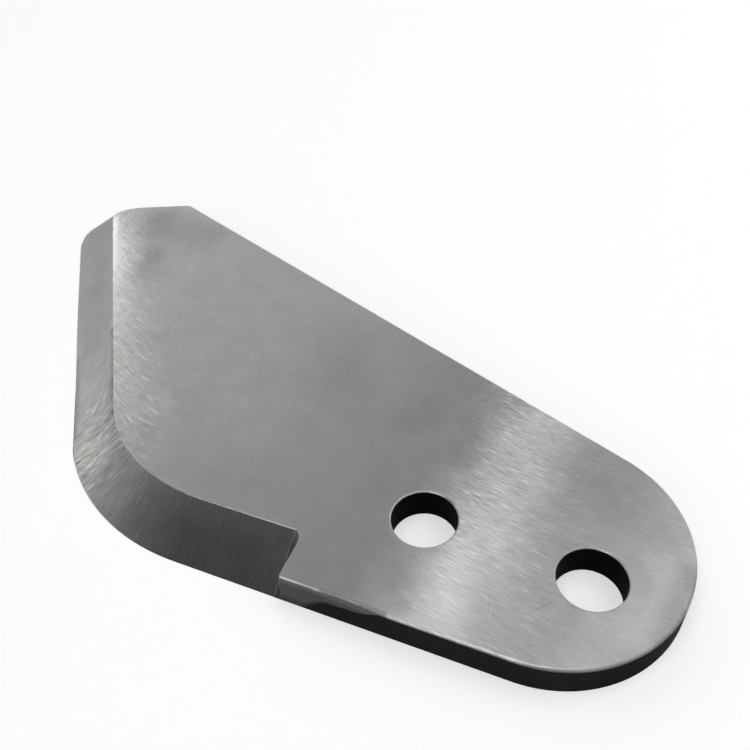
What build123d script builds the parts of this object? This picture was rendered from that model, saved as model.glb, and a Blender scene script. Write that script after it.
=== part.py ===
"""Cutting blade for a meat processing machine: one flat plate with a ground bevel.

The plate lies on its flat face. Two bolt holes pass through its round end. The front edge,
the belly round and the first stretch of the lower edge are ground to one wide bevel, which
ends at a step, so the bolted end of the plate keeps its full thickness.

Lengths are in millimetres and angles in degrees. The origin is on the axis of the outer bolt
hole, on the flat face. X runs along the two bolt holes towards the round end, Z is up.
"""

import os
from math import cos, radians, sin

from build123d import *

# Plate
plate_thickness = 6.0
edge_break = 0.2

# Bolt holes, in line through the round end
bolt_hole_diameter = 11.0
bolt_hole_spacing = 27.6

# Round end, with its centre measured from the outer bolt hole
round_end_radius = 22.0
round_end_x = -7.7
round_end_y = 4.4

# Spine, the long straight edge that falls towards the round end
spine_fall = 18.4
tip_reach = 118.8
tip_radius = 1.5

# Nose, the short straight edge between the spine and the front edge
nose_length = 29.0
nose_rise = 26.0
nose_radius = 3.5
nose_corner_radius = 7.0

# Front edge, belly round and lower edge
front_fall = 51.3
belly_radius = 42.0
lower_rise = 3.2

# Ground bevel, and the step that ends it, measured along the lower edge from the outer hole
bevel_width = 9.4
step_distance = 45.0
step_root_radius = 1.3

# The grinding wheel comes in ahead of the nose and its section stands clear of the plate
wheel_run_in = 25.0
wheel_overlap = 2.0


def direction(angle):
    """Unit vector in the plane of the plate, at an angle from X."""
    return Vector(cos(radians(angle)), sin(radians(angle)))


def round_end_point(angle):
    """Point of the round end's circle whose outward normal is at an angle from X."""
    return Vector(round_end_x, round_end_y) + direction(angle) * round_end_radius


def crossing(point, angle, other_point, other_angle):
    """Point where two straight lines, each given by a point and an angle, meet."""
    along = direction(angle)
    across = direction(other_angle + 90)
    return point + along * ((other_point - point).dot(across) / along.dot(across))


# Directions of the straight edges, and a point on each edge that touches the round end
spine_angle = -spine_fall
front_angle = -front_fall
lower_angle = lower_rise
spine_point = round_end_point(spine_angle + 90)
lower_point = round_end_point(lower_angle - 90)

# Corners of the outline before they are rounded
round_end_corner = crossing(spine_point, spine_angle, lower_point, lower_angle)
tip_corner = crossing(spine_point, spine_angle, Vector(-tip_reach, 0), 90)
nose_corner = tip_corner - direction(nose_rise) * nose_length
belly_corner = crossing(nose_corner, front_angle, lower_point, lower_angle)

# The bevel runs down the front edge, round the belly and along the lower edge to the step
outer_hole_foot = crossing(Vector(0, 0), lower_angle + 90, lower_point, lower_angle)
step_corner = outer_hole_foot - direction(lower_angle) * step_distance
bevel_start = nose_corner - direction(front_angle) * wheel_run_in
bevel_slope = plate_thickness / bevel_width
wheel_reach = bevel_width + wheel_overlap

# Middle points of the two slanting edges that the bevel makes, at the step and at the nose
mid_thickness = Vector(0, 0, plate_thickness / 2)
step_root = step_corner + direction(lower_angle + 90) * (bevel_width / 2) + mid_thickness
nose_cut_length = bevel_width / sin(radians(nose_rise + front_fall))
nose_edge = nose_corner + direction(nose_rise) * (nose_cut_length / 2) + mid_thickness

with BuildPart() as blade:
    # Full-thickness plate with its round end, tip and belly
    with BuildSketch() as outline:
        with BuildLine():
            Polyline(round_end_corner, tip_corner, nose_corner, belly_corner, close=True)
        make_face()
        fillet(outline.vertices().sort_by_distance(round_end_corner)[0], round_end_radius)
        fillet(outline.vertices().sort_by_distance(tip_corner)[0], tip_radius)
        fillet(outline.vertices().sort_by_distance(belly_corner)[0], belly_radius)
    extrude(amount=plate_thickness)

    # Bevel down to a sharp edge on the flat face, cut by a wedge swept along that edge
    with BuildLine() as cutting_edge:
        FilletPolyline(bevel_start, belly_corner, step_corner, radius=belly_radius)
    wheel_plane = Plane(
        origin=bevel_start,
        x_dir=direction(front_angle + 90),
        z_dir=direction(front_angle),
    )
    with BuildSketch(wheel_plane):
        with BuildLine():
            Polyline(
                (-wheel_overlap, -wheel_overlap * bevel_slope),
                (wheel_reach, wheel_reach * bevel_slope),
                (-wheel_overlap, wheel_reach * bevel_slope),
                close=True,
            )
        make_face()
    sweep(path=cutting_edge.line, mode=Mode.SUBTRACT)

    # Bolt holes
    with Locations((0, 0, plate_thickness), (-bolt_hole_spacing, 0, plate_thickness)):
        Hole(bolt_hole_diameter / 2)

    # Round the slanting corner of the nose, and the root that the wheel leaves at the step
    fillet(blade.edges().sort_by_distance(nose_edge)[0], nose_radius)
    fillet(blade.edges().sort_by_distance(step_root)[0], step_root_radius)

    # Round the foot of the nose corner upright, where the bevel leaves little of the side
    with BuildSketch() as rounded_outline:
        add(outline.sketch)
        fillet(rounded_outline.vertices().sort_by_distance(nose_corner)[0], nose_corner_radius)
    extrude(amount=plate_thickness, mode=Mode.INTERSECT)

    # Break every edge of the top face: rim, ridge of the bevel, step and bolt holes
    chamfer(blade.faces().sort_by(Axis.Z)[-1].edges(), edge_break)

blade.part.label = "blade"
os.makedirs("parts", exist_ok=True)
export_step(blade.part, "parts/blade.step")
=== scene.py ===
"""Looks of a meat cutting blade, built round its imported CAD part.

The blade is one ground steel plate. Its mesh is worked out again with numpy at a finer step
than the CAD solid, from the same sizes, so its edges are softly broken, its top face rolls over
a little beside the long bevel, and its cutting edge carries a narrow honed strip. Lengths are in
metres, angles in degrees, and the frame is the CAD frame.
"""

import logging
from dataclasses import dataclass, field
from enum import Enum

import bpy
import numpy as np
from mathutils import Matrix, Vector

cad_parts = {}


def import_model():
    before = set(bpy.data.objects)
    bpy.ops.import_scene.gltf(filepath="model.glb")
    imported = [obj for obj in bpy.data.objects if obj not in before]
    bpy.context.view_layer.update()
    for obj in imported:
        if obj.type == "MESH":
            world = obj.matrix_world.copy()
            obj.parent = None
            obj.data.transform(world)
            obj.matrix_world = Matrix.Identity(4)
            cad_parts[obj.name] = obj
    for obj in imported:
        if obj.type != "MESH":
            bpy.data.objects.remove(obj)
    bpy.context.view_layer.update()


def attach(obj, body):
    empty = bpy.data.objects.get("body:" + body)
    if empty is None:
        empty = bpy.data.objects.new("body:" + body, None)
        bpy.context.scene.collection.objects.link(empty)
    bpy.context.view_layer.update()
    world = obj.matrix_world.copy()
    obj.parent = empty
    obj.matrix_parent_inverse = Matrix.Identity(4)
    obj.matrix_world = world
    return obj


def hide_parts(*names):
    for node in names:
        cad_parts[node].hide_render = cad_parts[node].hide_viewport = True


LOG = logging.getLogger("blade_scene")

# Maps and point attributes that carry the finishes
GRAIN_MAP = "grain"
SCRATCH_MAP = "scratches"
GROUND_MARK = "ground"
# Painted highlight beside the front ridge, added to the steel's colour
PAINTED_RIDGE_GLINT = "painted_ridge_glint"
RIDGE_LINE = "ridge_line"
# Painted shade on the rounded edge over the dark side
RIM_PAINTED_SHADE = "rim_painted_shade"
FACE_STREAKS = "face_streaks"
# Painted light and shade of the soft spots on the top face
PAINTED_FACE_SPOTS = "face_painted_spots"
BEVEL_STREAKS = "bevel_streaks"

# Least length to divide by, and the length below which two points are taken as one
SHORTEST = 1e-12
TOUCHING = 1e-9

Rows = tuple[tuple[float, ...], ...]
Colour = tuple[float, float, float]
Socket = bpy.types.NodeSocket
Value = Socket | float | tuple[float, ...]


class Region(Enum):
    """Surfaces of the blade with a finish of their own, each by its material's number."""

    FACE = 0
    BEVEL = 1
    SIDE = 2
    BORE = 3
    ROOT = 4
    CORNER = 5


def heading(angle: float) -> np.ndarray:
    """Unit vector in the plane of the plate, at an angle in degrees from X."""
    turn = np.radians(angle)
    return np.array([np.cos(turn), np.sin(turn)])


def crossing(point: np.ndarray, angle: float, other: np.ndarray, other_angle: float) -> np.ndarray:
    """Finds where two straight lines in the plane meet.

    Args:
        point: A point on the first line.
        angle: The direction of the first line, in degrees.
        other: A point on the second line.
        other_angle: The direction of the second line, in degrees.

    Returns:
        The point where they meet.
    """
    along = heading(angle)
    across = heading(other_angle + 90)
    return point + along * ((other - point) @ across) / (along @ across)


def smooth(value: np.ndarray, low: float, high: float) -> np.ndarray:
    """Ramp with soft ends: 0 below low, 1 above high, 3t^2 - 2t^3 of the share between them."""
    share = np.clip((value - low) / (high - low), 0.0, 1.0)
    return share * share * (3 - 2 * share)


def falls(value: np.ndarray, *rows: tuple[float, float, float]) -> np.ndarray:
    """Sum of soft falls: each amount is whole below its low and gone above its high.

    Args:
        value: The values, in any shape.
        *rows: An amount, a low and a high for each fall.

    Returns:
        The sum for each value.
    """
    return sum(amount * (1 - smooth(value, low, high)) for amount, low, high in rows)


def looked_up(value: np.ndarray, rows: Rows) -> np.ndarray:
    """Straight lines between a table's rows, each a place and the amount there."""
    return np.interp(value, *np.transpose(rows))


def straight(start: np.ndarray, end: np.ndarray, share: np.ndarray) -> np.ndarray:
    """Straight run: start plus a share of the way to end, for whole arrays of both."""
    return start + (end - start) * share[..., None]


def turned(angle: np.ndarray) -> np.ndarray:
    """Unit vectors in the plane at an array of angles in radians from X."""
    return np.stack([np.cos(angle), np.sin(angle)], axis=-1)


@dataclass(frozen=True)
class Stroke:
    """Single scratch or soft spot between two places on a map, in metres.

    The brightness that it adds is full on the line between its ends and falls softly to nothing
    at its reach. A scratch is a mark of the steel; a soft spot is painted light or painted shade.
    """

    start: tuple[float, float]
    end: tuple[float, float]
    reach: float
    strength: float


@dataclass
class Surface:
    """Part of a mesh: points, four-cornered faces over them, and what each point carries.

    The grain map holds two lengths for each point, the first across the grain that shapes the
    highlights and the second along it. The scratch map does the same for the scratches seen.
    """

    points: np.ndarray
    faces: np.ndarray
    grain: np.ndarray
    scratch: np.ndarray
    regions: np.ndarray


def linked(made: bpy.types.Object) -> bpy.types.Object:
    """Puts an object into the scene and gives it back."""
    bpy.context.scene.collection.objects.link(made)
    return made


def grid_faces(rows: int, columns: int) -> np.ndarray:
    """Joins a grid of points, whose last column joins the first, into faces.

    Args:
        rows: Number of rows in the grid.
        columns: Number of points in a row.

    Returns:
        Indices of the four corners of each face, row by row.
    """
    index = np.arange(rows * columns).reshape(rows, columns)
    ahead = np.roll(index, -1, axis=1)
    corners = np.stack([index[:-1], ahead[:-1], ahead[1:], index[1:]], axis=-1)
    return corners.reshape(-1, 4)


def sheet_of(
    points: np.ndarray, grain: np.ndarray, scratch: np.ndarray, region: np.ndarray
) -> Surface:
    """Makes a surface from a grid of points whose last column joins the first.

    Args:
        points: Rows, columns and coordinates of the points.
        grain: The grain map's two lengths for each point.
        scratch: The scratch map's two lengths for each point.
        region: The region of each column of faces, or of each face by row and column.

    Returns:
        The surface, with its faces wound the way the grid runs.
    """
    rows, columns = points.shape[:2]
    faces = grid_faces(rows, columns)
    regions = np.broadcast_to(region, (rows - 1, columns)).reshape(-1)
    return Surface(
        points.reshape(-1, 3), faces, grain.reshape(-1, 2), scratch.reshape(-1, 2), regions
    )


@dataclass
class BladePlan:
    """Sizes of the blade and the lines that follow from them.

    The sizes are the CAD source's own, apart from the breaks of single edges and corner_radius,
    the small round of the step's outer corner.
    """

    thickness: float = 0.0060
    hole_radius: float = 0.0055
    hole_spacing: float = 0.0276
    edge_break: float = 0.0002
    ridge_break: float = 0.00008
    lower_break: float = 0.00014
    end_break: float = 0.00045
    round_end_radius: float = 0.0220
    round_end_centre: np.ndarray = field(default_factory=lambda: np.array([-0.0077, 0.0044]))
    spine_fall: float = 18.4
    tip_reach: float = 0.1188
    tip_radius: float = 0.0015
    nose_length: float = 0.0290
    nose_rise: float = 26.0
    nose_radius: float = 0.0035
    nose_corner_radius: float = 0.0070
    front_fall: float = 51.3
    belly_radius: float = 0.0420
    lower_rise: float = 3.2
    bevel_width: float = 0.0094
    step_distance: float = 0.0450
    step_root_radius: float = 0.0013
    corner_radius: float = 0.00035

    def __post_init__(self) -> None:
        """Works out the normals, lines and corners of the outline."""
        self.slope = np.arctan2(self.thickness, self.bevel_width)
        self.spine_out = heading(90 - self.spine_fall)
        self.nose_out = heading(90 + self.nose_rise)
        self.front_out = heading(270 - self.front_fall)
        self.lower_out = heading(self.lower_rise - 90)
        self.lower_run = heading(self.lower_rise)
        centre, radius = self.round_end_centre, self.round_end_radius
        spine_point = centre + self.spine_out * radius
        lower_point = centre + self.lower_out * radius
        reach = np.array([-self.tip_reach, 0.0])
        self.tip = crossing(spine_point, -self.spine_fall, reach, 90)
        self.nose = self.tip - heading(self.nose_rise) * self.nose_length
        belly = crossing(self.nose, -self.front_fall, lower_point, self.lower_rise)
        half = (self.lower_out + self.front_out) / 2
        self.belly_centre = belly - half / (half @ half) * self.belly_radius
        self.foot = self.lower_out * (self.lower_out @ lower_point)
        half = (self.spine_out + self.nose_out) / 2
        self.tip_centre = self.tip - half / (half @ half) * self.tip_radius
        half = (self.nose_out + self.front_out) / 2
        self.nose_centre = self.nose - half / (half @ half) * self.nose_corner_radius
        front_end = self.belly_centre + self.front_out * self.belly_radius
        self.front_length = np.linalg.norm(front_end - self.nose)

    def bevel_normal(self, out: np.ndarray) -> np.ndarray:
        """Normal of the bevel along a straight edge whose outward direction is given."""
        return np.array([*(out * np.sin(self.slope)), np.cos(self.slope)])

    def on_lower(self, along: np.ndarray, inset: np.ndarray) -> np.ndarray:
        """Points beside the lower edge: its foot, plus both distances along their directions.

        Args:
            along: Distance along the lower edge from the outer hole's foot.
            inset: Distance inside the lower edge.

        Returns:
            The points in plan.
        """
        along, inset = np.asarray(along)[..., None], np.asarray(inset)[..., None]
        return self.foot + self.lower_run * along - self.lower_out * inset

    def beside_lower(self, points: np.ndarray) -> tuple[np.ndarray, np.ndarray]:
        """Where points lie beside the lower edge, as dot products with its two directions.

        Args:
            points: Points in the frame.

        Returns:
            The distance along the edge from the step, and the distance inside the edge.
        """
        away = points[..., :2] - self.foot
        return away @ self.lower_run + self.step_distance, -away @ self.lower_out

    def beside_ridge(self, points: np.ndarray) -> tuple[np.ndarray, np.ndarray]:
        """Where points lie beside the ridge of the bevel.

        Along the straight edges both lengths are dot products with the edge's directions.
        Round the belly they are the distance from its centre and the arc round it.

        Args:
            points: Points in the frame.

        Returns:
            The distance inside the ridge, and the run along the cutting edge from the nose.
        """
        away = points[..., :2] - self.belly_centre
        out, ahead = away @ self.front_out, away @ heading(-self.front_fall)
        past = away @ self.lower_run
        stretch = [ahead <= 0, past >= 0]
        reach = np.select(stretch, [out, away @ self.lower_out], np.linalg.norm(away, axis=-1))
        most = np.radians(self.front_fall + self.lower_rise)
        turn = np.select(stretch, [0.0, most], np.arctan2(ahead, out))
        run = self.front_length + self.belly_radius * turn
        run += np.minimum(ahead, 0.0) + np.maximum(past, 0.0) * (turn >= most)
        return self.belly_radius - self.bevel_width - reach, run


@dataclass
class Contour:
    """Closed line round the blade at a height, with the same columns at every height.

    It runs anticlockwise: lower side, round end, spine, tip, nose, nose corner in three parts,
    front bevel, belly bevel, lower bevel, root of the step, wall of the step and its corner.
    The middle part of the nose corner is the upright round at its foot, and shrinks to nothing
    where the bevel and the slanting round have taken that away. The sizes up to corner count
    the columns of each stretch. Pairs are the two ends of a soft ramp.
    """

    plan: BladePlan
    side_before_cut: int = 34
    side_after_cut: int = 10
    round_end: int = 72
    spine_after_cut: int = 16
    spine_before_tip: int = 84
    tip: int = 4
    nose: int = 20
    nose_near: int = 18
    nose_foot: int = 10
    nose_far: int = 10
    front: int = 64
    belly: int = 72
    lower: int = 40
    root: int = 12
    wall: int = 10
    corner: int = 5
    cut_line: float = -0.0138
    front_crowding: float = 0.9
    lower_end_share: float = 0.9985
    corner_share: float = 0.5
    foot_rise: float = 0.001
    hone_rise: float = 0.0012
    hone_edge: float = 0.00008
    hone_extra: float = 4.5
    hone_grows: tuple[float, float] = (0.034, 0.062)
    hone_fades: tuple[float, float] = (0.0, 0.13)
    belly_break_grows: tuple[float, float] = (0.5, 1.0)
    nose_break_shrinks: tuple[float, float] = (0.2, 0.9)
    side_break_grows: tuple[float, float] = (0.1, 0.55)
    end_break_shrinks: tuple[float, float] = (0.4, 0.7)
    side_fall: float = 0.00050
    side_fall_from: float = 0.0016
    side_fall_ends: tuple[float, float] = (0.007, 0.021)
    bend_points: int = 160
    run_points: int = 24
    touch_rows: int = 600
    corner_reach: float = 0.0092

    def __post_init__(self) -> None:
        """Names the first column of each stretch and settles what each column carries."""
        names = (
            "side_before_cut side_after_cut round_end spine_after_cut spine_before_tip tip nose "
            "nose_near nose_foot nose_far front belly lower root wall corner"
        ).split()
        counts = [getattr(self, name) for name in names]
        starts = np.concatenate([[0], np.cumsum(counts)])
        self.span = {n: slice(a, b) for n, a, b in zip(names, starts[:-1], starts[1:])}
        self.columns = int(starts[-1])
        self.lower_cut = self.side_before_cut
        self.upper_cut = int(starts[4])
        self.nose_part = slice(self.span["nose_near"].start, self.span["nose_far"].stop)
        stages = (self.share("nose_near"), self.share("nose_foot"), self.share("nose_far", True))
        self.nose_place = np.concatenate([number + share for number, share in enumerate(stages)])
        self._settle_touch()
        self._settle_steepness()
        self._settle_hone()
        self._settle_breaks()

    def share(self, name: str, end: bool = False) -> np.ndarray:
        """Share of the way along a stretch for each of its columns, from 0 towards 1."""
        return np.linspace(0.0, 1.0, getattr(self, name), endpoint=end)

    def _settle_steepness(self) -> None:
        """Angle between the top face and the surface that meets it, for each column.

        It is a right angle at the sides and the bevel's angle along the bevel. Round the nose
        and the root of the step it turns with the fillet's own normal.
        """
        plan, span = self.plan, self.span
        steep = np.full(self.columns, np.pi / 2)
        for name in ("front", "belly", "lower"):
            steep[span[name]] = plan.slope
        top = np.full((1, len(self.nose_place)), plan.thickness)
        _, turn = self._nose(top, self.nose_place)
        steep[self.nose_part] = np.arccos(self._nose_turn(turn[0])[:, 2])
        turn = self.share("root", True) * np.pi / 2
        steep[span["root"]] = np.arccos(np.cos(turn) * np.cos(plan.slope))
        self.steep = steep

    def _front_share(self) -> np.ndarray:
        """Share of the way down the front edge for each of its columns, denser at the nose."""
        return ((np.arange(self.front) + 1) / self.front) ** self.front_crowding

    def _settle_hone(self) -> None:
        """Height of the honed strip for each column: a trace everywhere, wide on the front edge."""
        self.rise = np.full(self.columns, self.foot_rise)
        for name in ("front", "belly", "lower"):
            self.rise[self.span[name]] = self.hone_edge
        length = self.plan.front_length
        run = self.corner_reach + (length - self.corner_reach) * self._front_share()
        self.rise[self.span["front"]] += self.hone_rise * smooth(run, *self.hone_grows)
        self.rise[self.span["belly"]] += falls(
            self.share("belly"), (self.hone_rise, *self.hone_fades)
        )

    def _settle_breaks(self) -> None:
        """Width of the broken top edge for each column: crisp at the bevel, soft round the end."""
        plan, span = self.plan, self.span
        self.breaks = np.full(self.columns, plan.edge_break)
        for name in ("front", "belly"):
            self.breaks[span[name]] = plan.ridge_break
        for name in ("lower", "root", "wall", "corner"):
            self.breaks[span[name]] = plan.lower_break
        self.breaks[span["side_after_cut"]] = plan.end_break
        turn = np.linspace(0.0, 1.0, len(self.nose_place))
        worn = plan.end_break - plan.edge_break
        changes = (
            (
                span["belly"],
                plan.lower_break - plan.ridge_break,
                smooth(self.share("belly"), *self.belly_break_grows),
            ),
            (
                self.nose_part,
                plan.ridge_break - plan.edge_break,
                smooth(turn, *self.nose_break_shrinks),
            ),
            (
                span["side_before_cut"],
                worn,
                smooth(self.share("side_before_cut"), *self.side_break_grows),
            ),
            (
                span["round_end"],
                worn,
                1 - smooth(self.share("round_end"), *self.end_break_shrinks),
            ),
        )
        for part, amount, share in changes:
            self.breaks[part] += amount * share

    def _settle_touch(self) -> None:
        """Finds which point of the nose line the upright round lets go of last, going up."""
        probe = np.linspace(0.0, self.plan.thickness / 2, self.touch_rows)
        _, over = self._nose_line(probe)
        row = np.nonzero((over > 0).any(axis=-1))[0][-1]
        self.touch = int(np.argmax(over[row]))

    def _nose_turn(self, share: np.ndarray) -> np.ndarray:
        """Normals round the slanting nose corner, turned evenly from the nose to the bevel.

        Args:
            share: Share of the turn for each.

        Returns:
            Unit vectors, one for each share.
        """
        plan = self.plan
        start = np.array([*plan.nose_out, 0.0])
        end = plan.bevel_normal(plan.front_out)
        angle = np.arccos(start @ end)
        share = share[:, None]
        return (np.sin((1 - share) * angle) * start + np.sin(share * angle) * end) / np.sin(angle)

    def inset(self, height: np.ndarray, name: str) -> np.ndarray:
        """Distance of the bevel's surface from the outline at a height.

        Above the honed strip it is the height over the slope of the bevel. Below the strip's
        top the surface falls more steeply, by hone_extra degrees.

        Args:
            height: Rows by columns of heights.
            name: The stretch of the contour.

        Returns:
            The inset, rows by columns.
        """
        plan = self.plan
        rise = self.rise[self.span[name]]
        steep = plan.slope + np.radians(self.hone_extra)
        below = np.clip(rise - height, 0.0, None)
        return np.maximum(height, rise) / np.tan(plan.slope) - below / np.tan(steep)

    def _nose_bend(self, height: np.ndarray) -> np.ndarray:
        """Slanting nose corner: points of a cylinder that touches the nose and the bevel.

        Its axis lies nose_radius inside both planes, and each point is slid along the axis
        until it has the height that is asked for.

        Args:
            height: Heights, in any shape.

        Returns:
            That shape, then the points round the bend and the two coordinates in plan.
        """
        plan = self.plan
        normal_a = np.array([*plan.nose_out, 0.0])
        normal_b = plan.bevel_normal(plan.front_out)
        axis = np.cross(normal_a, normal_b)
        corner = np.array([*plan.nose, 0.0])
        rows = np.array([normal_a, normal_b, axis])
        depth = np.array([-plan.nose_radius, -plan.nose_radius, 0.0])
        start = corner + np.linalg.solve(rows, depth)
        turn = self._nose_turn(np.linspace(0.0, 1.0, self.bend_points)) * plan.nose_radius
        slide = (height[..., None] - start[2] - turn[:, 2]) / axis[2]
        return (start + turn + slide[..., None] * axis)[..., :2]

    def _nose_line(self, height: np.ndarray) -> tuple[np.ndarray, np.ndarray]:
        """Line round the nose corner at each height, kept inside the upright round at its foot.

        It runs from the nose over the slanting bend to the bevel. A point that lies further
        from the upright round's axis than its radius is drawn in to that radius.

        Args:
            height: Heights, in any shape.

        Returns:
            The points of the line, and how far each stood outside the upright round.
        """
        plan = self.plan
        back, ahead = heading(plan.nose_rise), heading(-plan.front_fall)
        bend = self._nose_bend(height)
        share = np.linspace(0.0, 1.0, self.run_points, endpoint=False)[:, None]
        first, last = bend[..., :1, :], bend[..., -1:, :]
        lead = np.clip(self.corner_reach - (first - plan.nose) @ back, 0.0, None)[..., None]
        tail = np.clip(self.corner_reach - (last - plan.nose) @ ahead, 0.0, None)[..., None]
        line = np.concatenate(
            [first + back * lead * (1 - share), bend, last + ahead * tail * (share + share[1])],
            axis=-2,
        )
        away = line - plan.nose_centre
        size = np.linalg.norm(away, axis=-1)
        sector = (away @ back < 0) & (away @ ahead < 0)
        over = np.where(sector, size - plan.nose_corner_radius, -1.0)
        drawn = plan.nose_centre + away * (plan.nose_corner_radius / size)[..., None]
        return np.where((over > 0)[..., None], drawn, line), over

    def _nose(self, height: np.ndarray, place: np.ndarray) -> tuple[np.ndarray, np.ndarray]:
        """Points at chosen places round the nose corner.

        Places 0 to 1 share out the line up to the upright round, 1 to 2 the upright round
        itself and 2 to 3 the rest, each by its length.

        Args:
            height: Rows by columns of heights.
            place: The place of each column.

        Returns:
            Points in plan, and the share of the slanting bend's turn at each.
        """
        line, over = self._nose_line(height)
        steps = np.linalg.norm(np.diff(line, axis=-2), axis=-1)
        run = np.concatenate([np.zeros((*steps.shape[:-1], 1)), np.cumsum(steps, -1)], -1)
        cut = over > 0
        never = ~cut.any(axis=-1)
        first = np.where(never, self.touch, np.argmax(cut, axis=-1))
        last = np.where(never, self.touch, cut.shape[-1] - 1 - np.argmax(cut[..., ::-1], -1))

        def pick(values: np.ndarray, index: np.ndarray) -> np.ndarray:
            """Values at one index for each row and column."""
            return np.take_along_axis(values, index[..., None], axis=-1)[..., 0]

        marks = np.stack([run[..., 0], pick(run, first), pick(run, last), run[..., -1]], -1)
        stage = np.broadcast_to(np.minimum(place.astype(int), 2), height.shape)
        low, high = pick(marks, stage), pick(marks, stage + 1)
        goal = low + (high - low) * (place - stage)
        index = (run[..., 1:-1] <= goal[..., None]).sum(axis=-1)
        before, after = pick(run, index), pick(run, index + 1)
        part = np.clip((goal - before) / np.maximum(after - before, SHORTEST), 0.0, 1.0)
        start = np.take_along_axis(line, index[..., None, None], axis=-2)[..., 0, :]
        end = np.take_along_axis(line, index[..., None, None] + 1, axis=-2)[..., 0, :]
        turn = (index + part - self.run_points) / (self.bend_points - 1)
        return start + (end - start) * part[..., None], np.clip(turn, 0.0, 1.0)

    def _root(self, height: np.ndarray, turn: np.ndarray) -> tuple[np.ndarray, np.ndarray]:
        """Hollow root between bevel and step, cut off where it would pass the lower side.

        A point at an angle t round the root stands r(1 - cos t) off the bevel and r(1 - sin t)
        off the wall. The angle stops where that point reaches the lower side.

        Args:
            height: Rows by columns of heights.
            turn: Share of the turn, by columns.

        Returns:
            Distance from the wall and inset from the lower side, rows by columns.
        """
        radius, slope = self.plan.step_root_radius, self.plan.slope
        flat = height / np.tan(slope)
        most = np.arccos(np.clip(1 - flat * np.sin(slope) / radius, 0.0, 1.0))
        angle = most * turn
        gap = radius * (1 - np.sin(angle))
        return gap, flat - radius * (1 - np.cos(angle)) / np.sin(slope)

    def side_back(self, height: np.ndarray, along: np.ndarray) -> np.ndarray:
        """How far the lower side falls back near the step, where the wheel has thinned it.

        It grows with the square of the height above side_fall_from, and fades softly with the
        distance from the step.

        Args:
            height: Rows by columns of heights.
            along: Distance along the lower edge for each, from the outer hole's foot.

        Returns:
            The inset from the lower edge, rows by columns.
        """
        rise = (height - self.side_fall_from) / (self.plan.thickness - self.side_fall_from)
        most = falls(along + self.plan.step_distance, (self.side_fall, *self.side_fall_ends))
        return most * np.clip(rise, 0.0, 1.0) ** 2

    def at(self, height: np.ndarray) -> np.ndarray:
        """Points of the contour in plan.

        Args:
            height: Rows by columns of heights above the flat face.

        Returns:
            Rows, columns and the two coordinates in plan.
        """
        points = np.zeros((*height.shape, 2))
        self._lay_step(points, height)
        self._lay_back(points)
        self._lay_nose(points, height)
        self._lay_bevels(points, height)
        return points

    def _lay_step(self, points: np.ndarray, height: np.ndarray) -> None:
        """Lays the root, the wall and the corner of the step, and the lower side from there.

        The root is a hollow round, the wall a straight line, the corner a quarter round that
        shrinks with what the root leaves of the wall, and the side a straight line in two parts.

        Args:
            points: The contour's points, which it fills.
            height: Rows by columns of heights.
        """
        plan, span = self.plan, self.span
        step = -plan.step_distance
        low_root, low_left = self._root(height, np.ones(self.columns))
        most = np.clip(low_left, 0.0, None) * self.corner_share
        corner = np.minimum(plan.corner_radius, most)
        end_along = plan.lower_run @ (plan.round_end_centre - plan.foot)
        cut_along = (self.cut_line - plan.foot[0]) / plan.lower_run[0]

        part = span["side_before_cut"]
        start = step - low_root[:, part] + corner[:, part]
        along = start + (cut_along - start) * self.share("side_before_cut")
        points[:, part] = plan.on_lower(along, self.side_back(height[:, part], along))
        part = span["side_after_cut"]
        along = cut_along + (end_along - cut_along) * self.share("side_after_cut")
        points[:, part] = plan.on_lower(along, np.zeros_like(along))

        part = span["root"]
        gap, left = self._root(height[:, part], self.share("root", True))
        points[:, part] = plan.on_lower(step - gap, left)
        part = span["wall"]
        share = (np.arange(self.wall) + 1) / (self.wall + 1)
        end = corner[:, part] + self.side_back(height[:, part], step)
        left = low_left[:, part] + (end - low_left[:, part]) * share
        points[:, part] = plan.on_lower(step - low_root[:, part], left)
        part = span["corner"]
        turn = self.share("corner") * np.pi / 2
        small = corner[:, part]
        along = step - low_root[:, part] + small * (1 - np.cos(turn))
        back = self.side_back(height[:, part], along)
        points[:, part] = plan.on_lower(along, back + small * (1 - np.sin(turn)))

    def _lay_back(self, points: np.ndarray) -> None:
        """Lays the round end, the spine and the tip, which are the same at every height.

        The round end and the tip are arcs, and the spine is a straight line in two parts.

        Args:
            points: The contour's points, which it fills.
        """
        plan, span = self.plan, self.span
        half_turn = 180 - plan.lower_rise - plan.spine_fall
        turn = np.radians(plan.lower_rise - 90 + half_turn * self.share("round_end"))
        points[:, span["round_end"]] = (
            plan.round_end_centre + plan.round_end_radius * turned(turn)
        )
        start = plan.round_end_centre + plan.spine_out * plan.round_end_radius
        end = plan.tip_centre + plan.spine_out * plan.tip_radius
        middle = start + (end - start) * (self.cut_line - start[0]) / (end[0] - start[0])
        for name, first, last in (
            ("spine_after_cut", start, middle),
            ("spine_before_tip", middle, end),
        ):
            points[:, span[name]] = straight(first, last, self.share(name))
        turn = 90 - plan.spine_fall + (plan.spine_fall + plan.nose_rise) * self.share("tip")
        points[:, span["tip"]] = plan.tip_centre + plan.tip_radius * turned(np.radians(turn))

    def _lay_nose(self, points: np.ndarray, height: np.ndarray) -> None:
        """Lays the straight nose, from the tip to the nose corner, and the corner itself.

        Args:
            points: The contour's points, which it fills.
            height: Rows by columns of heights.
        """
        plan, part = self.plan, self.span["nose"]
        start = plan.tip_centre + plan.nose_out * plan.tip_radius
        end, _ = self._nose(height[:, part], np.zeros(self.nose))
        points[:, part] = straight(start, end, self.share("nose"))
        points[:, self.nose_part], _ = self._nose(height[:, self.nose_part], self.nose_place)

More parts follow.
